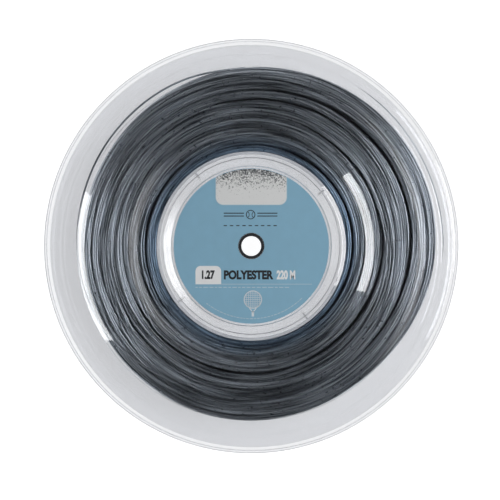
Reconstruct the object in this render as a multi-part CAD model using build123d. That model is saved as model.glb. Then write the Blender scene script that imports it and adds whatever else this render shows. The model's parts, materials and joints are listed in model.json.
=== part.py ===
from build123d import *
import math
import os

# String reel: a 220 m spool of racket string in a clear moulded reel, lying on its rear flange.
# The axis of the reel is Z, and the origin is on that axis, on the surface that the rear rim rests on.
# All sizes are in millimetres. Heights in the flange profile are measured outwards from the mid plane.

# Driving dimensions of the reel
flange_radius = 130.0
reel_height = 28.0
flange_wall = 1.6
mid_height = reel_height / 2

# Outer face of a flange, as heights above the mid plane
rim_height = mid_height
edge_band_height = 13.0
groove_height = 11.6
shoulder_height = 13.2
hub_ridge_height = 13.9
label_floor_height = 12.2

# Radii where the outer face of a flange changes height
label_floor_radius = 50.4
hub_ridge_inner_radius = 55.6
hub_ridge_outer_radius = 56.8
drum_radius = 59.4
shoulder_radius = 71.7
groove_inner_radius = 77.2
groove_outer_radius = 104.8
edge_band_radius = 109.3
bead_radius = 120.0
bead_half_width = 0.65
bead_rise = 0.35
rim_inner_radius = 126.2
rim_slope_width = 1.8
rim_chamfer = 0.5
slope_shift = 0.3

# Drum core between the flanges
drum_wall = 2.0
drum_bore_radius = drum_radius - drum_wall
rib_count = 4
rib_thickness = 1.2
rib_inner_radius = 53.4
rib_half_height = 7.0
first_rib_angle = 37.5
start_hole_radius = 0.9
start_hole_angle = 60.0
start_hole_height = 9.0

# Collars on the inner face of each flange
fit_clearance = 0.1
hub_collar_wall = 1.7
hub_collar_height = 7.6
sleeve_collar_wall = 2.0
sleeve_collar_height = 4.6

# Spindle sleeve
spindle_radius = 6.25
sleeve_radius = 8.0
sleeve_stand_out = 0.4

# Labels
label_radius = 48.7
label_hole_radius = 8.3
label_thickness = 0.15
foil_half_width = 22.3
foil_bottom = 25.8
foil_corner = 4.8
foil_thickness = 0.1
foil_edge_gap = 0.2

# String
string_diameter = 1.27
winding_gap = 0.3
winding_radius = 111.2
winding_shift = (3.9, 1.8)
winding_corner = 2.5
start_recess = 0.4

# Slack stretch of the last turn, as angle in degrees, radius and height above the bottom of the reel
slack_route = [
    (92, 112.7, 9.0),
    (104, 113.9, 7.6),
    (117, 114.4, 5.6),
    (130, 114.0, 4.2),
    (143, 113.3, 3.7),
    (156, 112.4, 4.2),
    (169, 111.4, 5.9),
    (182, 110.6, 9.0),
    (195, 109.8, 13.2),
    (207, 108.2, 17.8),
    (219, 104.6, 21.6),
    (231, 100.6, 23.1),
]
arc_share = 0.45


def turned(profile):
    """A solid of revolution about the reel's axis, from (radius, height) points."""
    corners = [(radius, 0, height) for radius, height in profile]
    return revolve(make_face(Polyline(*corners, close=True)), axis=Axis.Z)


def flange_profile():
    """Half section of a flange: its outer face from the hub to the rim, then its inner face back."""
    groove_inside = groove_height - flange_wall
    edge_inside = edge_band_height - flange_wall
    shoulder_inside = shoulder_height - flange_wall
    floor_inside = label_floor_height - flange_wall
    ridge_inside = hub_ridge_height - flange_wall
    hub_collar_radius = drum_bore_radius - fit_clearance
    hub_collar_bore = hub_collar_radius - hub_collar_wall
    sleeve_hole = sleeve_radius + fit_clearance
    sleeve_collar = sleeve_hole + sleeve_collar_wall
    outer_face = [
        (sleeve_hole, label_floor_height),
        (label_floor_radius, label_floor_height),
        (hub_ridge_inner_radius, hub_ridge_height),
        (hub_ridge_outer_radius, hub_ridge_height),
        (drum_radius, shoulder_height),
        (shoulder_radius, shoulder_height),
        (groove_inner_radius, groove_height),
        (groove_outer_radius, groove_height),
        (edge_band_radius, edge_band_height),
        (bead_radius - bead_half_width, edge_band_height),
        (bead_radius, edge_band_height + bead_rise),
        (bead_radius + bead_half_width, edge_band_height),
        (rim_inner_radius, edge_band_height),
        (rim_inner_radius + rim_slope_width, rim_height),
        (flange_radius - rim_chamfer, rim_height),
        (flange_radius, rim_height - rim_chamfer),
    ]
    inner_face = [
        (flange_radius, edge_inside + rim_chamfer),
        (flange_radius - rim_chamfer, edge_inside),
        (edge_band_radius + slope_shift, edge_inside),
        (groove_outer_radius + slope_shift, groove_inside),
        (groove_inner_radius - slope_shift, groove_inside),
        (shoulder_radius - slope_shift, shoulder_inside),
        (hub_collar_radius, shoulder_inside),
        (hub_collar_radius, hub_collar_height),
        (hub_collar_bore, hub_collar_height),
        (hub_collar_bore, ridge_inside),
        (hub_ridge_inner_radius - slope_shift, ridge_inside),
        (label_floor_radius - slope_shift, floor_inside),
        (sleeve_collar, floor_inside),
        (sleeve_collar, sleeve_collar_height),
        (sleeve_hole, sleeve_collar_height),
    ]
    return outer_face + inner_face


def front_flange():
    return Pos(0, 0, mid_height) * turned(flange_profile())


def rear_flange():
    return mirror(front_flange(), about=Plane.XY.offset(mid_height))


def drum_core():
    """Tube between the flanges with inner ribs, and a hole that the start of the string goes through."""
    half_length = shoulder_height - flange_wall
    tube = Cylinder(drum_radius, 2 * half_length) - Cylinder(drum_bore_radius, 2 * half_length)
    rib_length = drum_bore_radius + drum_wall / 2 - rib_inner_radius
    rib = Pos(rib_inner_radius + rib_length / 2, 0, 0) * Box(rib_length, rib_thickness, 2 * rib_half_height)
    for index in range(rib_count):
        angle = first_rib_angle + index * 360 / rib_count
        tube += Rot(0, 0, angle) * rib
    hole = Pos(drum_radius, 0, 0) * Rot(0, 90, 0) * Cylinder(start_hole_radius, 4 * drum_wall)
    tube -= Rot(0, 0, start_hole_angle) * Pos(0, 0, start_hole_height - mid_height) * hole
    return Pos(0, 0, mid_height) * tube


def spindle_sleeve():
    half_length = label_floor_height + sleeve_stand_out
    sleeve = Cylinder(sleeve_radius, 2 * half_length) - Cylinder(spindle_radius, 2 * half_length)
    return Pos(0, 0, mid_height) * sleeve


def label(base_height):
    """Round paper label with a hole for the sleeve, its lower face at base_height."""
    disc = Circle(label_radius) - Circle(label_hole_radius)
    return extrude(Pos(0, 0, base_height) * disc, label_thickness)


def front_label():
    return label(mid_height + label_floor_height)


def rear_label():
    return label(mid_height - label_floor_height - label_thickness)


def foil_panel():
    """Foil tab on the front label, with two rounded lower corners and the label's round edge above."""
    tab_height = 2 * label_radius
    tab = Pos(0, foil_bottom + tab_height / 2) * RectangleRounded(2 * foil_half_width, tab_height, foil_corner)
    panel = tab & Circle(label_radius - foil_edge_gap)
    base_height = mid_height + label_floor_height + label_thickness
    return extrude(Pos(0, 0, base_height) * panel, foil_thickness)


def string_winding():
    """Outer shape of the wound string: a round coil, a little off centre, that fills the channel
    between the flanges and the wider pocket next to the drum."""
    pocket_half_width = shoulder_height - flange_wall - winding_gap
    channel_half_width = groove_height - flange_wall - winding_gap
    inner_radius = drum_radius + winding_gap
    pocket_radius = shoulder_radius - 2 * slope_shift
    channel_radius = groove_inner_radius - 2 * slope_shift
    coil = Pos(*winding_shift, 0) * Cylinder(winding_radius, 2 * channel_half_width)
    coil = fillet(coil.edges().filter_by(GeomType.CIRCLE), winding_corner)
    coil -= Cylinder(inner_radius, reel_height)
    pocket = turned([
        (inner_radius, pocket_half_width),
        (pocket_radius, pocket_half_width),
        (channel_radius, channel_half_width),
        (channel_radius, -channel_half_width),
        (pocket_radius, -pocket_half_width),
        (inner_radius, -pocket_half_width),
    ])
    return Pos(0, 0, mid_height) * (coil + pocket)


def string_start():
    """First end of the string: it fills the hole in the drum wall and ends just inside it."""
    inner_end = drum_bore_radius + start_recess
    length = drum_radius + winding_gap - inner_end
    strand = Pos(inner_end + length / 2, 0, 0) * Rot(0, 90, 0) * Cylinder(string_diameter / 2, length)
    return Rot(0, 0, start_hole_angle) * Pos(0, 0, start_hole_height) * strand


def slack_points():
    points = []
    for angle, radius, height in slack_route:
        turn = math.radians(angle)
        points.append(Vector(radius * math.cos(turn), radius * math.sin(turn), height))
    return points


def arc_radii(points):
    """One radius for each corner of the route: as large as its two runs allow."""
    radii = []
    for before, corner, after in zip(points, points[1:], points[2:]):
        run_in = corner - before
        run_out = after - corner
        half_turn = math.radians(run_in.get_angle(run_out)) / 2
        radii.append(arc_share * min(run_in.length, run_out.length) / math.tan(half_turn))
    return radii


def loose_outer_turn():
    """Slack stretch of the last turn: it leaves the winding, sags to the rear flange, then climbs past
    the edge of the winding and goes back in by the front flange."""
    points = slack_points()
    radii = arc_radii(points)
    path = FilletPolyline(*points, radius=radii)
    section = Plane(origin=path @ 0, z_dir=path % 0) * Circle(string_diameter / 2)
    tube = sweep(section, path=path)
    expected = math.pi * (string_diameter / 2) ** 2 * path.length
    print("loose_outer_turn length", round(path.length, 2), "radii", [round(radius, 1) for radius in radii])
    print("loose_outer_turn volume", round(tube.volume, 2), "section times length", round(expected, 2))
    return tube


def main():
    os.makedirs("parts", exist_ok=True)
    pieces = {
        "front_flange": front_flange(),
        "rear_flange": rear_flange(),
        "drum_core": drum_core(),
        "spindle_sleeve": spindle_sleeve(),
        "front_label": front_label(),
        "rear_label": rear_label(),
        "foil_panel": foil_panel(),
        "string_winding": string_winding(),
        "string_start": string_start(),
        "loose_outer_turn": loose_outer_turn(),
    }
    for name, shape in pieces.items():
        export_step(shape, f"parts/{name}.step")


main()
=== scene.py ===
import json
import math
import bpy
import numpy as np
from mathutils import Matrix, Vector

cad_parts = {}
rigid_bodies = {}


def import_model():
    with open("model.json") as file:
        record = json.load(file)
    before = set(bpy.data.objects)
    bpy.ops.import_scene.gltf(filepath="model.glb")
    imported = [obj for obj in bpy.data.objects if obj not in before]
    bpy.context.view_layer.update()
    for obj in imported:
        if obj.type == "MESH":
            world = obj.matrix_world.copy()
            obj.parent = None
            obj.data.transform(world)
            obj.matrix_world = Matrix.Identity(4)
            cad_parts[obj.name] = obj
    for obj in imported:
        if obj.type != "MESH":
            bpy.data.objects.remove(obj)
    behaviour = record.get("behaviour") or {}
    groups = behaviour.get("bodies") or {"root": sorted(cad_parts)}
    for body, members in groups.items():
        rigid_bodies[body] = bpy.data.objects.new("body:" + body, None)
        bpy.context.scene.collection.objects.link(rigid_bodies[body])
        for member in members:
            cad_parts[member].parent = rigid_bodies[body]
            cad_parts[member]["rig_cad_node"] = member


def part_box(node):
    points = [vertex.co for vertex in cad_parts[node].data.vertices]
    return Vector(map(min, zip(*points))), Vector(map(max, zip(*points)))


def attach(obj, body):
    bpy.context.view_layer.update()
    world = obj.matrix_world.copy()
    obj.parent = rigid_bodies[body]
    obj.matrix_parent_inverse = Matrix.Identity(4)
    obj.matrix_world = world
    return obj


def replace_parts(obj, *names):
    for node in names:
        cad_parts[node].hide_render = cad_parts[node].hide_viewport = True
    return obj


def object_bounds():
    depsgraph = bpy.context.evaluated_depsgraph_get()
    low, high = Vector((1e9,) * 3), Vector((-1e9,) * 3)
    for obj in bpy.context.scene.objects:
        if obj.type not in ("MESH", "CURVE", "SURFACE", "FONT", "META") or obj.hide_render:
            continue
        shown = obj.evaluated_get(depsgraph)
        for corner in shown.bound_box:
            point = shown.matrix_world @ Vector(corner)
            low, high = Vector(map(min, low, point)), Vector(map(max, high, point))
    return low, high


# String reel lying on its rear flange: the clear mouldings, sleeve, labels and foil are the CAD parts,
# and the string is wound here at its full length. Everything is in metres, unless it says otherwise.
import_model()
cad_low, cad_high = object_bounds()
MM = 0.001

# Places read from the frame
label_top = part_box("front_label")[1].z
rear_label_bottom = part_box("rear_label")[0].z
foil_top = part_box("foil_panel")[1].z
drum_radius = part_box("drum_core")[1].x
winding_low, winding_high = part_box("string_winding")
winding_centre = (winding_low + winding_high) / 2
mid_height = winding_centre.z

# String: its thickness, the turns on the reel, points in each turn, sides of the tube, and meshes
strand = 1.27 * MM
turns = 408
slices = 120
sides = 8
strand_pieces = 5

# Winding's outline: mean radius, and waves round it as their count, size in millimetres, and the angle
# of a peak in degrees
outline_radius = 111.25 * MM
outline_waves = ((1, 4.3, 24), (2, 1.85, 39), (3, 0.9, 12), (4, 0.45, 6))

# Channel for the string: the gap at the drum, its half widths in the pocket by the drum and beyond it,
# and where the slope between them starts and how wide it is
drum_gap = 0.3 * MM
pocket_half_width = 11.5 * MM
narrow_half_width = 9.9 * MM
pocket_end_radius = 71.4 * MM
pocket_slope_width = 5.5 * MM

# How the guide lays the string: turns in a sweep, its reach and how much that varies, and how far a
# sweep's turns, a few turns and single turns wander, as parts of the winding's depth. Then the settling
# rounds, and the points over which each end bends to meet the loose string
sweep_turns = 15.0
guide_reach = 8.4 * MM
guide_spread = 1.3 * MM
guide_jitter = 0.5 * MM
few_turns = 3.3
bundle_wander = 0.055
few_wander = 0.014
turn_wander = 0.004
spots_per_turn = 5
settling_rounds = 160
joined_points = 30

# Slack stretch of the last turn: angle in degrees, radius and height in millimetres
slack_route = [
    (92, 112.7, 9.0),
    (104, 113.9, 7.6),
    (117, 114.4, 5.6),
    (130, 114.0, 4.2),
    (143, 113.3, 3.7),
    (156, 112.4, 4.2),
    (169, 111.4, 5.9),
    (182, 110.6, 9.0),
    (195, 109.8, 13.2),
    (207, 108.2, 17.8),
    (219, 104.6, 21.6),
    (231, 100.6, 23.1),
]

# The string's loose end beyond the slack, and its start from the hole in the drum to the first turn,
# in the same units as the slack
tail_route = [
    (231, 100.6, 23.1),
    (245, 98.9, 23.2),
    (262, 97.6, 23.2),
    (280, 96.8, 22.9),
    (296, 96.4, 21.2),
]
start_route = [
    (60, 57.8, 9.0),
    (60.1, 59.3, 9.0),
    (63, 60.2, 9.0),
    (72, 60.3, 9.0),
    (82, 60.3, 9.1),
    (92, 60.4, 9.1),
]
winding_start = 92

# Finishes that change with the distance from the axis: satin hub, and bluer string by the drum
satin_end = 56 * MM
polish_start = 57.5 * MM
tint_end = 62 * MM
plain_start = 71 * MM

# Print on the labels, in millimetres; heights are on the label, from its centre
print_depth = 0.03
badge_box = (-35.0, -24.0, -18.9, -12.5)
badge_corner = 3.2
words_bottom = -21.0
words_top = -15.2
mark_left = -17.3
mark_right = 16.4
foil_half_width = 22.3
foil_bottom = 25.8
foil_corner = 4.8
foil_side_top = 42.6
foil_line = 0.35


# ---------------------------------------------------------------- material helpers

def node_material(name):
    material = bpy.data.materials.new(name)
    material.use_nodes = True
    tree = material.node_tree
    return material, tree, tree.nodes["Principled BSDF"]


def add_node(tree, kind, **values):
    node = tree.nodes.new(kind)
    for name, value in values.items():
        if name in node.inputs:
            node.inputs[name].default_value = value
        else:
            setattr(node, name, value)
    return node


def object_place(tree, scale=(1, 1, 1)):
    """Object coordinates, stretched by scale."""
    place = add_node(tree, "ShaderNodeTexCoord")
    mapping = add_node(tree, "ShaderNodeMapping")
    mapping.inputs["Scale"].default_value = scale
    tree.links.new(place.outputs["Object"], mapping.inputs["Vector"])
    return mapping.outputs["Vector"]


def noise(tree, place, scale, detail=3.0, roughness=0.55):
    node = add_node(tree, "ShaderNodeTexNoise", Scale=scale, Detail=detail, Roughness=roughness)
    tree.links.new(place, node.inputs["Vector"])
    return node.outputs["Fac"]


def remap(tree, value, low, high, start=0.3, end=0.7):
    node = add_node(tree, "ShaderNodeMapRange")
    node.inputs["From Min"].default_value = start
    node.inputs["From Max"].default_value = end
    node.inputs["To Min"].default_value = low
    node.inputs["To Max"].default_value = high
    tree.links.new(value, node.inputs["Value"])
    return node.outputs["Result"]


def blend_colours(tree, factor, first, second):
    node = add_node(tree, "ShaderNodeMix", data_type="RGBA")
    node.inputs["A"].default_value = (*first, 1)
    node.inputs["B"].default_value = (*second, 1)
    tree.links.new(factor, node.inputs["Factor"])
    return node.outputs["Result"]


def add_bump(tree, shader, height, strength, distance):
    bump = add_node(tree, "ShaderNodeBump", Strength=strength, Distance=distance)
    tree.links.new(height, bump.inputs["Height"])
    tree.links.new(bump.outputs["Normal"], shader.inputs["Normal"])


# ---------------------------------------------------------------- materials

def flat_place(tree):
    """Object coordinates with the height left out."""
    place = add_node(tree, "ShaderNodeTexCoord")
    flat = add_node(tree, "ShaderNodeVectorMath", operation="MULTIPLY")
    flat.inputs[1].default_value = (1, 1, 0)
    tree.links.new(place.outputs["Object"], flat.inputs[0])
    return flat.outputs["Vector"]


def distance_from_axis(tree):
    length = add_node(tree, "ShaderNodeVectorMath", operation="LENGTH")
    tree.links.new(flat_place(tree), length.inputs[0])
    return length.outputs["Value"]


def winding_place(tree, across, around):
    """Coordinates that follow the winding: across per metre of radius, around per turn."""
    unit = add_node(tree, "ShaderNodeVectorMath", operation="NORMALIZE")
    tree.links.new(flat_place(tree), unit.inputs[0])
    turned = add_node(tree, "ShaderNodeVectorMath", operation="SCALE")
    turned.inputs["Scale"].default_value = around
    tree.links.new(unit.outputs["Vector"], turned.inputs[0])
    radial = add_node(tree, "ShaderNodeMath", operation="MULTIPLY")
    tree.links.new(distance_from_axis(tree), radial.inputs[0])
    radial.inputs[1].default_value = across
    upward = add_node(tree, "ShaderNodeCombineXYZ")
    tree.links.new(radial.outputs["Value"], upward.inputs["Z"])
    total = add_node(tree, "ShaderNodeVectorMath", operation="ADD")
    tree.links.new(turned.outputs["Vector"], total.inputs[0])
    tree.links.new(upward.outputs["Vector"], total.inputs[1])
    return total.outputs["Vector"]


def clear_plastic(name="clear_polystyrene", clarity=1.0):
    """Clear polystyrene with smudges and slight dents, and a ring-marked satin finish in the hub. Lamps
    shine through it, and a lower clarity makes it milky."""
    material, tree, shader = node_material(name)
    place = object_place(tree)
    shader.inputs["Base Color"].default_value = (0.8, 0.805, 0.82, 1)
    shader.inputs["IOR"].default_value = 1.58
    shader.inputs["Transmission Weight"].default_value = clarity
    rings = noise(tree, winding_place(tree, 700.0, 3.0), 1.0, 2.0)
    smudges = noise(tree, place, 38.0, 4.0)
    polish = remap(tree, smudges, 0.012, 0.035, 0.45, 0.75)
    satin = remap(tree, smudges, 0.12, 0.24, 0.35, 0.65)
    in_hub = remap(tree, distance_from_axis(tree), 1.0, 0.0, satin_end, polish_start)
    finish = add_node(tree, "ShaderNodeMix", data_type="FLOAT")
    tree.links.new(in_hub, finish.inputs["Factor"])
    tree.links.new(polish, finish.inputs["A"])
    tree.links.new(satin, finish.inputs["B"])
    tree.links.new(finish.outputs["Result"], shader.inputs["Roughness"])
    ring_share = remap(tree, in_hub, 0.0007, 1.3, 0.0, 1.0)
    height = add_node(tree, "ShaderNodeMath", operation="MULTIPLY_ADD")
    tree.links.new(rings, height.inputs[0])
    tree.links.new(ring_share, height.inputs[1])
    tree.links.new(remap(tree, noise(tree, place, 45.0, 2.0), 0.0, 0.35, 0.0, 1.0), height.inputs[2])
    add_bump(tree, shader, height.outputs["Value"], 0.35, 0.0004)
    path = add_node(tree, "ShaderNodeLightPath")
    window = add_node(tree, "ShaderNodeBsdfTransparent", Color=(0.93, 0.94, 0.95, 1))
    either = add_node(tree, "ShaderNodeMixShader")
    tree.links.new(path.outputs["Is Shadow Ray"], either.inputs["Fac"])
    tree.links.new(shader.outputs["BSDF"], either.inputs[1])
    tree.links.new(window.outputs["BSDF"], either.inputs[2])
    tree.links.new(either.outputs["Shader"], tree.nodes["Material Output"].inputs["Surface"])
    return material


def monofilament():
    """Slate grey string with a satin skin and a fine grain. Its shade changes along the turns as painted
    light and shade, for bundles that catch the key light or lie deeper in shadow, and it is bluer by the
    drum."""
    material, tree, shader = node_material("monofilament")
    place = object_place(tree)
    # Painted light and shade: this noise lightens and darkens the string's colour bundle by bundle, standing
    # for strands that catch the key light or lie in shadow
    shade = noise(tree, winding_place(tree, 560.0, 1.5), 1.0, 4.0, 0.65)
    dark = (0.09, 0.103, 0.118)
    pale = (0.66, 0.71, 0.77)
    colour = blend_colours(tree, remap(tree, shade, 0.0, 1.0, 0.36, 0.64), dark, pale)
    tint = add_node(tree, "ShaderNodeMix", data_type="RGBA", blend_type="MULTIPLY")
    near_drum = remap(tree, distance_from_axis(tree), 1.0, 0.0, tint_end, plain_start)
    tree.links.new(near_drum, tint.inputs["Factor"])
    tree.links.new(colour, tint.inputs["A"])
    tint.inputs["B"].default_value = (0.62, 0.78, 0.93, 1)
    tree.links.new(tint.outputs["Result"], shader.inputs["Base Color"])
    shader.inputs["Metallic"].default_value = 0.9
    tree.links.new(remap(tree, noise(tree, place, 420.0), 0.26, 0.38), shader.inputs["Roughness"])
    add_bump(tree, shader, noise(tree, place, 900.0, 2.0), 0.06, 0.00003)
    return material


def black_plastic():
    material, tree, shader = node_material("black_moulding")
    place = object_place(tree)
    shade = noise(tree, place, 300.0)
    tree.links.new(blend_colours(tree, shade, (0.008, 0.01, 0.014), (0.02, 0.023, 0.028)),
                   shader.inputs["Base Color"])
    tree.links.new(remap(tree, shade, 0.35, 0.5), shader.inputs["Roughness"])
    add_bump(tree, shader, noise(tree, place, 2500.0), 0.15, 0.00005)
    return material


def printed_paper(name, colour, spread=0.06, sheen_low=0.5, sheen_high=0.62):
    """Ink on coated paper: a little mottling, and a satin surface with a fine fibre grain."""
    material, tree, shader = node_material(name)
    place = object_place(tree)
    mottle = noise(tree, place, 160.0, 4.0)
    darker = tuple(channel * (1 - spread) for channel in colour)
    lighter = tuple(min(1.0, channel * (1 + spread)) for channel in colour)
    tree.links.new(blend_colours(tree, mottle, darker, lighter), shader.inputs["Base Color"])
    tree.links.new(remap(tree, mottle, sheen_low, sheen_high), shader.inputs["Roughness"])
    add_bump(tree, shader, noise(tree, place, 3200.0), 0.08, 0.00003)
    return material


def speckled_foil():
    """Silver foil, with dark specks near the label's edge and fewer towards the middle."""
    material, tree, shader = node_material("speckled_foil")
    place = object_place(tree)
    split = add_node(tree, "ShaderNodeSeparateXYZ")
    tree.links.new(place, split.inputs["Vector"])
    towards_edge = remap(tree, split.outputs["Y"], 0.0, 1.0, 30 * MM, 48 * MM)
    grains = noise(tree, place, 1150.0, 3.0, 0.7)
    threshold = add_node(tree, "ShaderNodeMath", operation="MULTIPLY_ADD")
    tree.links.new(towards_edge, threshold.inputs[0])
    threshold.inputs[1].default_value = 0.27
    threshold.inputs[2].default_value = -0.16
    total = add_node(tree, "ShaderNodeMath", operation="ADD")
    tree.links.new(grains, total.inputs[0])
    tree.links.new(threshold.outputs["Value"], total.inputs[1])
    speck = remap(tree, total.outputs["Value"], 0.0, 1.0, 0.5, 0.62)
    tree.links.new(blend_colours(tree, speck, (0.9, 0.91, 0.91), (0.09, 0.1, 0.11)),
                   shader.inputs["Base Color"])
    shader.inputs["Metallic"].default_value = 0.1
    tree.links.new(remap(tree, grains, 0.35, 0.55), shader.inputs["Roughness"])
    add_bump(tree, shader, grains, 0.2, 0.0001)
    return material


def floor_material():
    material, tree, shader = node_material("studio_floor")
    shader.inputs["Base Color"].default_value = (0.3, 0.3, 0.3, 1)
    shader.inputs["Roughness"].default_value = 0.9
    shader.inputs["Emission Color"].default_value = (1, 1, 1, 1)
    shader.inputs["Emission Strength"].default_value = 0.97
    return material


def dress(node, material):
    """Gives a CAD node's object this material."""
    for piece in bpy.data.objects:
        if piece.get("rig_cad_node") == node:
            for slot in piece.material_slots:
                slot.material = material


# ---------------------------------------------------------------- stage

def add_camera():
    """Straight down on the label, far enough away to flatten the perspective."""
    distance = 2.2
    view_width = 313.4 * MM
    data = bpy.data.cameras.new("camera")
    data.sensor_width = 36
    data.lens = data.sensor_width * (distance - cad_high.z) / view_width
    camera = bpy.data.objects.new("camera", data)
    camera.location = (-0.8 * MM, -2.5 * MM, distance)
    bpy.context.scene.collection.objects.link(camera)
    bpy.context.scene.camera = camera


def add_softbox(name, azimuth, polar, distance, width, height, radiance):
    """A rectangular light aimed at the reel. Polar is the angle from straight up, both in degrees."""
    side = math.radians(azimuth)
    tilt = math.radians(polar)
    direction = Vector((math.sin(tilt) * math.cos(side), math.sin(tilt) * math.sin(side), math.cos(tilt)))
    data = bpy.data.lights.new(name, "AREA")
    data.shape = "RECTANGLE"
    data.size = width
    data.size_y = height
    data.energy = radiance * math.pi * width * height
    lamp = bpy.data.objects.new(name, data)
    lamp.location = direction * distance
    lamp.rotation_mode = "QUATERNION"
    lamp.rotation_quaternion = direction.to_track_quat("Z", "Y")
    bpy.context.scene.collection.objects.link(lamp)


def add_world():
    """A room that is bright round the horizon and dim overhead, with a soft glow high on the left."""
    world = bpy.data.worlds.new("studio")
    world.use_nodes = True
    tree = world.node_tree
    place = add_node(tree, "ShaderNodeTexCoord")
    split = add_node(tree, "ShaderNodeSeparateXYZ")
    tree.links.new(place.outputs["Generated"], split.inputs["Vector"])
    ramp = add_node(tree, "ShaderNodeValToRGB")
    ramp.color_ramp.elements[0].position = 0.1
    ramp.color_ramp.elements[0].color = (0.9, 0.9, 0.9, 1)
    ramp.color_ramp.elements[1].position = 0.5
    ramp.color_ramp.elements[1].color = (0.03, 0.03, 0.03, 1)
    tree.links.new(split.outputs["Z"], ramp.inputs["Fac"])
    side = math.radians(184)
    tilt = math.radians(34)
    towards = add_node(tree, "ShaderNodeVectorMath", operation="DOT_PRODUCT")
    tree.links.new(place.outputs["Generated"], towards.inputs[0])
    towards.inputs[1].default_value = (math.sin(tilt) * math.cos(side), math.sin(tilt) * math.sin(side),
                                       math.cos(tilt))
    glow = remap(tree, towards.outputs["Value"], 0.0, 1.6, math.cos(math.radians(26)), 1.0)
    total = add_node(tree, "ShaderNodeMath", operation="ADD")
    tree.links.new(ramp.outputs["Color"], total.inputs[0])
    tree.links.new(glow, total.inputs[1])
    tree.links.new(total.outputs["Value"], tree.nodes["Background"].inputs["Color"])
    tree.nodes["Background"].inputs["Strength"].default_value = 1.0
    bpy.context.scene.world = world


def add_floor():
    half = 4.0
    mesh = bpy.data.meshes.new("floor")
    corners = [(-half, -half, 0), (half, -half, 0), (half, half, 0), (-half, half, 0)]
    mesh.from_pydata(corners, [], [(0, 1, 2, 3)])
    floor = bpy.data.objects.new("floor", mesh)
    floor.location.z = -0.2 * MM
    mesh.materials.append(floor_material())
    bpy.context.scene.collection.objects.link(floor)


def set_stage():
    add_camera()
    add_world()
    add_softbox("key_softbox", azimuth=7.5, polar=35, distance=1.3, width=0.8, height=0.46, radiance=6.2)
    add_floor()
    bpy.context.scene.view_settings.view_transform = "Standard"
    bpy.context.scene.view_settings.look = "None"


# ---------------------------------------------------------------- string

def string_curve(name, route):
    """A length of string as one smooth spline with closed ends, riding the reel."""
    data = bpy.data.curves.new(name + "_line", "CURVE")
    data.dimensions = "3D"
    data.bevel_depth = strand / 2
    data.bevel_resolution = 4
    data.resolution_u = 12
    data.use_fill_caps = True
    spline = data.splines.new("NURBS")
    spline.points.add(len(route) - 1)
    for point, (angle, radius, height) in zip(spline.points, route):
        turn = math.radians(angle)
        point.co = (radius * MM * math.cos(turn), radius * MM * math.sin(turn), height * MM, 1)
    spline.order_u = 3
    spline.use_endpoint_u = True
    piece = bpy.data.objects.new(name, data)
    bpy.context.scene.collection.objects.link(piece)
    data.materials.append(string_material)
    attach(piece, "root")
    return piece


def add_loose_string():
    """The slack stretch of the last turn, the loose end beyond it, and the start at the drum."""
    slack = string_curve("slack_string", slack_route)
    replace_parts(slack, "loose_outer_turn")
    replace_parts(string_curve("string_tail", tail_route), "string_winding")
    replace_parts(string_curve("string_first_end", start_route), "string_start")


def winding_outline(angle):
    """Largest radius for a strand's centre: the winding is off centre, and slumped a little out of round."""
    radius = outline_radius
    for waves, size, peak in outline_waves:
        radius = radius + size * MM * np.cos(waves * (angle - math.radians(peak)))
    return radius - strand / 2


def channel_half_width(radius):
    """Room for a strand's centre on either side of the mid plane, between the two flanges."""
    along = np.clip((radius - pocket_end_radius) / pocket_slope_width, 0, 1)
    return pocket_half_width + (narrow_half_width - pocket_half_width) * along - strand / 2


def ease(part):
    return part * part * (3 - 2 * part)


def smooth_random(generator, places, per_turn):
    """A smooth random function of the number of turns, with per_turn values in each turn."""
    values = generator.normal(0, 1, int(turns * per_turn) + 3)
    at = places * per_turn
    index = at.astype(int)
    part = ease(at - index)
    return values[index] * (1 - part) + values[index + 1] * part


def bundle_random(generator, places, turns_each, per_turn):
    """Smooth random drift that a bundle of neighbouring turns shares, different for each bundle."""
    values = generator.normal(0, 1, (int(turns / turns_each) + 3, per_turn))
    bundle = places / turns_each
    bundle_index = bundle.astype(int)
    bundle_part = ease(np.clip((bundle - bundle_index - 0.7) / 0.3, 0, 1))
    around = (places % 1) * per_turn
    index = around.astype(int) % per_turn
    after = (index + 1) % per_turn
    part = ease(around - np.floor(around))
    here = values[bundle_index, index] * (1 - part) + values[bundle_index, after] * part
    following = values[bundle_index + 1, index] * (1 - part) + values[bundle_index + 1, after] * part
    return here * (1 - bundle_part) + following * bundle_part


def string_above(angle):
    """Radius, and height above the mid plane, of the loose string that lies on top of the winding."""
    route = slack_route[-3:] + tail_route[1:-1]
    degrees = np.degrees(angle) % 360
    radius = np.interp(degrees, [point[0] for point in route], [point[1] * MM for point in route])
    height = np.interp(degrees, [point[0] for point in route], [point[2] * MM for point in route])
    covered = (degrees > route[0][0]) & (degrees < route[-1][0])
    return np.where(covered, radius, 1.0), height - mid_height


def push_apart(radius, height, share=0.5, reach=7):
    """Moves strands that overlap in a cross-section away from each other, in smooth long bends."""
    order = np.argsort(radius, axis=0)
    sorted_radius = np.take_along_axis(radius, order, 0)
    sorted_height = np.take_along_axis(height, order, 0)
    move_out = np.zeros_like(radius)
    move_up = np.zeros_like(height)
    for step in range(1, turns):
        out = sorted_radius[step:] - sorted_radius[:-step]
        if out.min() > strand:
            break
        up = sorted_height[step:] - sorted_height[:-step]
        apart = np.sqrt(out * out + up * up) + 1e-9
        push = np.where(apart < strand, share * (strand - apart) / apart, 0)
        move_out[step:] += push * out
        move_out[:-step] -= push * out
        move_up[step:] += push * up
        move_up[:-step] -= push * up
    window = np.hanning(reach + 2)[1:-1]
    window /= window.sum()
    limit = 0.5 * strand
    for values, moves in ((radius, move_out), (height, move_up)):
        unsorted_moves = np.zeros_like(values)
        np.put_along_axis(unsorted_moves, order, np.clip(moves, -limit, limit), 0)
        values += np.convolve(unsorted_moves.reshape(-1), window, "same").reshape(values.shape)


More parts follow.
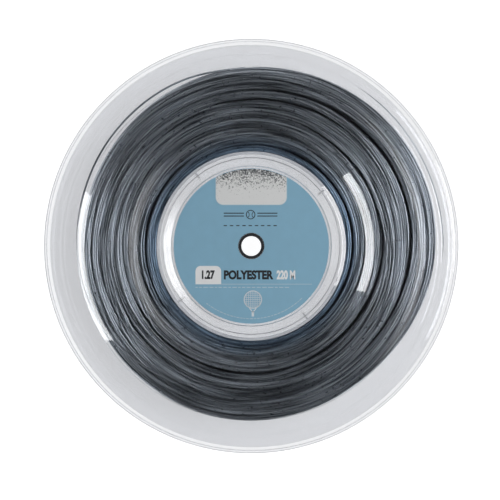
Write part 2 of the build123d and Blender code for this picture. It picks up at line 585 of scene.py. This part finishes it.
def relax_along(values, share):
    """Evens out one string's path along its length, from turn to turn."""
    flat = values.reshape(-1)
    flat[1:-1] += share * (flat[:-2] + flat[2:] - 2 * flat[1:-1])


def wind_string():
    """Centreline of the wound string, as one path of points: a guide sweeps it from side to side
    while the reel turns, and the strands then settle against each other and the flanges."""
    generator = np.random.default_rng(7)
    count = turns * slices
    turn = np.arange(count) / slices
    angle = 2 * np.pi * turn + math.radians(winding_start)
    sweep = turn / sweep_turns + 0.2 * np.sin(turn / 7.9) - 0.2
    reach = guide_reach + guide_spread * bundle_random(generator, turn, sweep_turns, spots_per_turn)
    height = reach * np.sin(np.pi * sweep) + guide_jitter * smooth_random(generator, turn, 2.0)
    filled = turn / turns
    wander = bundle_wander * bundle_random(generator, turn, sweep_turns, spots_per_turn)
    wander += few_wander * bundle_random(generator, turn, few_turns, spots_per_turn)
    wander += turn_wander * smooth_random(generator, turn, 2.5)
    filled = np.clip(filled + wander * np.sqrt(np.sin(np.pi * filled)), 0, 1)
    inner = drum_radius + drum_gap + strand / 2
    outer = winding_outline(angle)
    radius = (inner + (outer - inner) * filled).reshape(turns, slices)
    height = height.reshape(turns, slices)
    limit = outer.reshape(turns, slices)
    over_radius, over_height = string_above(angle)
    over_radius = over_radius.reshape(turns, slices)
    over_height = over_height.reshape(turns, slices)
    rounds = settling_rounds
    for index in range(rounds):
        loose = index < 0.75 * rounds
        push_apart(radius, height, reach=7 if loose else 3)
        relax_along(radius, 0.25 if loose else 0.12)
        relax_along(height, 0.25 if loose else 0.12)
        np.clip(radius, inner, limit, out=radius)
        room = channel_half_width(radius)
        ceiling = np.where(np.abs(radius - over_radius) < 1.2 * strand, over_height - strand, room)
        np.clip(height, -room, np.minimum(ceiling, room), out=height)
    radius = radius.reshape(-1)
    height = height.reshape(-1) + mid_height
    share = ease(np.arange(joined_points) / (joined_points - 1))
    for values, first, last in ((radius, start_route[-1][1], slack_route[0][1]),
                                (height, start_route[-1][2], slack_route[0][2])):
        values[:joined_points] += (first * MM - values[0]) * share[::-1]
        values[-joined_points:] += (last * MM - values[-1]) * share
    return np.stack([radius * np.cos(angle), radius * np.sin(angle), height], axis=1)


def tube_mesh(name, path, thickness):
    """A closed tube mesh round a path of points that runs mostly level."""
    along = np.gradient(path, axis=0)
    along /= np.linalg.norm(along, axis=1, keepdims=True)
    outward = np.cross(along, (0, 0, 1.0))
    outward /= np.linalg.norm(outward, axis=1, keepdims=True)
    upward = np.cross(outward, along)
    round_angle = 2 * np.pi * np.arange(sides) / sides
    across = np.cos(round_angle)[None, :, None] * outward[:, None]
    ring = across + np.sin(round_angle)[None, :, None] * upward[:, None]
    points = path[:, None] + ring * thickness / 2
    count = len(path)
    first = np.arange(count - 1)[:, None] * sides
    here = np.arange(sides)[None, :]
    beside = (here + 1) % sides
    quads = np.stack([first + here, first + beside, first + sides + beside, first + sides + here], axis=2)
    mesh = bpy.data.meshes.new(name)
    total = (count - 1) * sides
    mesh.vertices.add(count * sides)
    mesh.vertices.foreach_set("co", points.reshape(-1))
    mesh.loops.add(total * 4 + 2 * sides)
    start_cap = np.arange(sides)[::-1]
    end_cap = (count - 1) * sides + np.arange(sides)
    corners = np.concatenate([quads.reshape(-1), start_cap, end_cap])
    mesh.loops.foreach_set("vertex_index", corners.astype(np.int32))
    mesh.polygons.add(total + 2)
    starts = np.concatenate([np.arange(total) * 4, [total * 4, total * 4 + sides]])
    mesh.polygons.foreach_set("loop_start", starts.astype(np.int32))
    mesh.update(calc_edges=True)
    mesh.validate()
    mesh.shade_smooth()
    return mesh


def add_winding():
    path = wind_string()
    per_piece = math.ceil(len(path) / strand_pieces)
    for index in range(strand_pieces):
        start = index * per_piece
        part = path[start:start + per_piece + 1]
        mesh = tube_mesh(f"wound_string_{index + 1}", part, strand)
        mesh.materials.append(string_material)
        piece = bpy.data.objects.new(mesh.name, mesh)
        bpy.context.scene.collection.objects.link(piece)
        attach(piece, "root")
        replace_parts(piece, "string_winding")


# ---------------------------------------------------------------- label print

def box_outline(left, bottom, right, top):
    return [(left, bottom), (right, bottom), (right, top), (left, top)]


def arc_points(centre_x, centre_y, radius, start, end, count):
    points = []
    for index in range(count + 1):
        turn = math.radians(start + (end - start) * index / count)
        points.append((centre_x + radius * math.cos(turn), centre_y + radius * math.sin(turn)))
    return points


def band_outline(centre_x, centre_y, radius, width, start, end, count=24):
    """Part of a ring, width wide, round a centre."""
    outside = arc_points(centre_x, centre_y, radius + width / 2, start, end, count)
    inside = arc_points(centre_x, centre_y, radius - width / 2, end, start, count)
    return outside + inside


def ring_outlines(centre_x, centre_y, radius, width):
    """A whole ring, as two halves."""
    return [band_outline(centre_x, centre_y, radius, width, start, start + 180) for start in (0, 180)]


def line_outline(first_x, first_y, last_x, last_y, width):
    along = Vector((last_x - first_x, last_y - first_y)).normalized() * width / 2
    side = Vector((-along.y, along.x))
    return [(first_x - side.x, first_y - side.y), (last_x - side.x, last_y - side.y),
            (last_x + side.x, last_y + side.y), (first_x + side.x, first_y + side.y)]


def dress_print(piece, material):
    piece.data.materials.append(material)
    bpy.context.scene.collection.objects.link(piece)
    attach(piece, "root")
    return piece


def add_print(name, outlines, material, base):
    """A layer of print, as flat prisms on the label, from outlines in millimetres."""
    points = []
    faces = []
    for outline in outlines:
        first = len(points)
        count = len(outline)
        points += [(x * MM, y * MM, base) for x, y in outline]
        points += [(x * MM, y * MM, base + print_depth * MM) for x, y in outline]
        faces.append([first + count + index for index in range(count)])
        faces.append([first + index for index in reversed(range(count))])
        for index in range(count):
            after = (index + 1) % count
            faces.append([first + index, first + after, first + count + after, first + count + index])
    mesh = bpy.data.meshes.new(name)
    mesh.from_pydata(points, [], faces)
    mesh.validate()
    return dress_print(bpy.data.objects.new(name, mesh), material)


def add_words(name, words, left, bottom, right, top, material, base):
    """Plain bold letters stretched to fill a box given in millimetres."""
    data = bpy.data.curves.new(name + "_letters", "FONT")
    data.body = words
    data.extrude = 0.01
    data.offset = 0.05
    source = bpy.data.objects.new(name + "_letters", data)
    bpy.context.scene.collection.objects.link(source)
    shapes = bpy.context.evaluated_depsgraph_get()
    mesh = bpy.data.meshes.new_from_object(source.evaluated_get(shapes))
    mesh.name = name
    bpy.data.objects.remove(source)
    bpy.data.curves.remove(data)
    spots = np.empty(len(mesh.vertices) * 3)
    mesh.vertices.foreach_get("co", spots)
    spots = spots.reshape(-1, 3)
    low = spots.min(axis=0)
    size = spots.max(axis=0) - low
    box_low = np.array([left * MM, bottom * MM, base])
    box_size = np.array([(right - left) * MM, (top - bottom) * MM, print_depth * MM])
    mesh.vertices.foreach_set("co", ((spots - low) / size * box_size + box_low).reshape(-1))
    mesh.materials.clear()
    mesh.update()
    return dress_print(bpy.data.objects.new(name, mesh), material)


def ragged_dashes(generator, start, end, shortest, longest, gap):
    """Starts and ends of a row of dashes of random lengths."""
    dashes = []
    at = start
    while at < end:
        length = generator.uniform(shortest, longest)
        dashes.append((at, min(at + length, end)))
        at += length + gap
    return dashes


def badge_outline():
    """A box with two rounded upper corners."""
    left, bottom, right, top = badge_box
    outline = [(left, bottom), (right, bottom)]
    outline += arc_points(right - badge_corner, top - badge_corner, badge_corner, 0, 90, 8)
    outline += arc_points(left + badge_corner, top - badge_corner, badge_corner, 90, 180, 8)
    return outline


def racket_icon():
    """A racket's head with its strings, and a short handle."""
    centre_x, centre_y, head = 1.0, -33.6, 5.4
    string_gap, string_width = 1.35, 0.28
    throat = centre_y - head
    outlines = ring_outlines(centre_x, centre_y, head, 0.7)
    for index in range(-3, 4):
        offset = index * string_gap
        half = math.sqrt(head ** 2 - offset ** 2)
        along_x, along_y = centre_x + offset, centre_y + offset
        outlines.append(line_outline(along_x, centre_y - half, along_x, centre_y + half, string_width))
        outlines.append(line_outline(centre_x - half, along_y, centre_x + half, along_y, string_width))
    for side in (-2.2, 2.2):
        outlines.append(line_outline(centre_x + side, throat, centre_x, throat - 2.4, 0.6))
    outlines.append(line_outline(centre_x, throat - 2.0, centre_x, throat - 5.2, 1.5))
    return outlines


def ball_mark():
    """A ball with two seams, between two pairs of thin lines."""
    centre_x, centre_y, ball = -0.4, 19.7, 2.7
    seam_radius, seam_shift = 2.4, 3.3
    line_half_width, line_gap = 0.3, 4.2
    outlines = ring_outlines(centre_x, centre_y, ball, 0.5)
    outlines.append(band_outline(centre_x - seam_shift, centre_y, seam_radius, 0.4, -45, 45))
    outlines.append(band_outline(centre_x + seam_shift, centre_y, seam_radius, 0.4, 135, 225))
    for height in (centre_y - 0.9, centre_y + 0.9):
        bottom, top = height - line_half_width, height + line_half_width
        outlines.append(box_outline(mark_left, bottom, centre_x - line_gap, top))
        outlines.append(box_outline(centre_x + line_gap, bottom, mark_right, top))
    return outlines


def foil_border():
    """A pale outline round the sides and bottom of the foil tab."""
    half_line = foil_line / 2
    corner_x = foil_half_width - foil_corner
    corner_y = foil_bottom + foil_corner
    outlines = []
    for edge in (-foil_half_width, foil_half_width):
        outlines.append(box_outline(edge - half_line, corner_y, edge + half_line, foil_side_top))
    outlines.append(band_outline(-corner_x, corner_y, foil_corner, foil_line, 180, 270, 10))
    outlines.append(band_outline(corner_x, corner_y, foil_corner, foil_line, 270, 360, 10))
    outlines.append(box_outline(-corner_x, foil_bottom - half_line, corner_x, foil_bottom + half_line))
    return outlines


def print_front_label():
    generator = np.random.default_rng(3)
    dark = printed_paper("print_black", (0.012, 0.014, 0.018))
    pale = printed_paper("print_pale", (0.55, 0.7, 0.8))
    white = printed_paper("print_white", (0.97, 0.98, 1.0), spread=0.02)
    add_print("gauge_badge", [badge_outline()], white, label_top)
    badge_top = label_top + print_depth * MM
    add_words("gauge_number", "1.27", -31.0, -20.9, -22.9, words_top, dark, badge_top)
    add_words("material_name", "POLYESTER", -17.2, words_bottom, 13.9, words_top, dark, label_top)
    add_words("length_name", "220 M", 15.9, words_bottom, 27.6, words_top, white, label_top)
    add_print("ball_mark", ball_mark(), dark, label_top)
    dashes = []
    for index in range(9):
        left = mark_left + 3.9 * index
        dashes.append(box_outline(left, 12.5, left + 2.1, 13.1))
    add_print("dash_row", dashes, dark, label_top)
    badge_left, _, badge_right, _ = badge_box
    lines = [box_outline(badge_right, -24.1, 38.0, -23.75)]
    for start, end in ragged_dashes(generator, badge_left, 24.0, 1.2, 3.4, 0.9):
        lines.append(box_outline(start, -26.2, end, -25.7))
    for start, end in ragged_dashes(generator, 232, 315, 1.0, 2.6, 0.9):
        lines.append(band_outline(0, 0, 45.6, 0.5, start, end, 6))
    add_print("pale_lines", lines, pale, label_top)
    icon = printed_paper("print_icon", (0.8, 0.87, 0.93))
    add_print("racket_icon", racket_icon(), icon, label_top)
    add_print("foil_border", foil_border(), pale, foil_top)


def print_rear_label():
    """Two thin rings and a row of dashes."""
    base = rear_label_bottom - print_depth * MM
    outlines = ring_outlines(0, 0, 44.0, 0.4) + ring_outlines(0, 0, 14.0, 0.4)
    for index in range(6):
        outlines.append(box_outline(-18 + 6.2 * index, -26.6, -13.6 + 6.2 * index, -25.4))
    pale = printed_paper("print_pale_rear", (0.42, 0.56, 0.66))
    add_print("rear_print", outlines, pale, base)


# ---------------------------------------------------------------- run

set_stage()
string_material = monofilament()
add_loose_string()
add_winding()
plastic = clear_plastic()
for node in ("front_flange", "rear_flange"):
    dress(node, plastic)
dress("drum_core", clear_plastic("misty_polystyrene", clarity=0.5))
dress("spindle_sleeve", black_plastic())
label_blue = printed_paper("label_blue", (0.275, 0.525, 0.7))
dress("front_label", label_blue)
dress("rear_label", label_blue)
dress("foil_panel", speckled_foil())
print_front_label()
print_rear_label()
